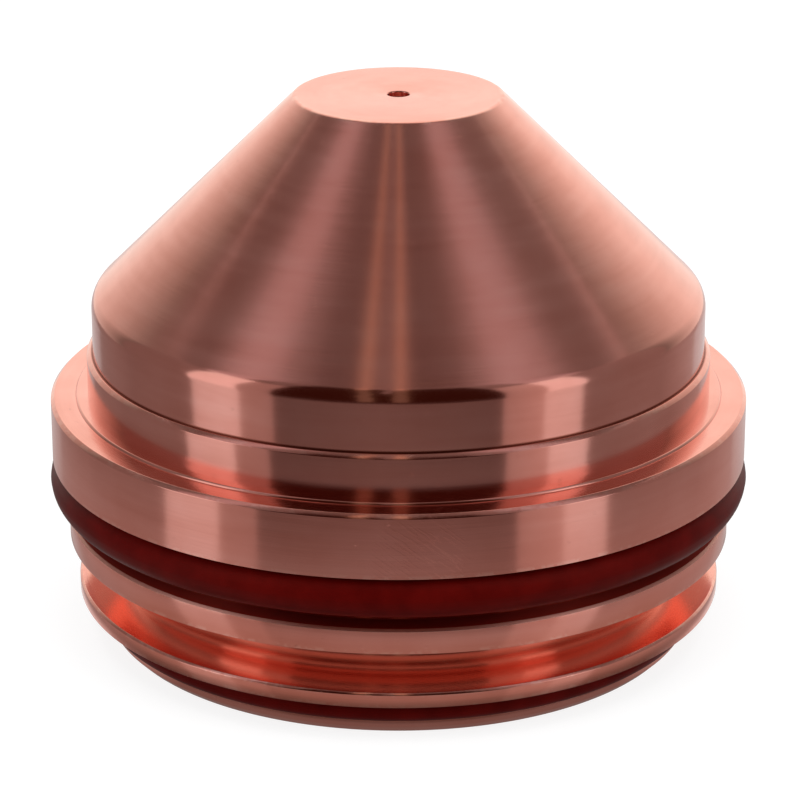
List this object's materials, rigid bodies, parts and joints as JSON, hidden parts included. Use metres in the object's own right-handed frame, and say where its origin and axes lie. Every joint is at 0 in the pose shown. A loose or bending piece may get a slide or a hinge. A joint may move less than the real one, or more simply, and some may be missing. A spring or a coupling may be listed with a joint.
{
  "type": "plasma torch nozzle",
  "caption": "Turned copper plasma torch nozzle with a flat-tipped cone, a fine central orifice, a flange and round rubber seals in its rear glands.",
  "frame": {"origin": "centre of the flat rear face, on the nozzle's axis", "axes": "+Z along the axis, from the rear face to the tip; the form is round, so X and Y are free"},
  "size_m": [0.0342, 0.0342, 0.0267],
  "materials": {
    "copper": "turned satin copper; the list has no copper, and brass is the nearest",
    "seal_rubber": "satin dark red rubber"
  },
  "bodies": {
    "root": {"nozzle_body": "copper", "front_o_ring": "seal_rubber", "rear_o_ring": "seal_rubber"}
  },
  "joints": []
}
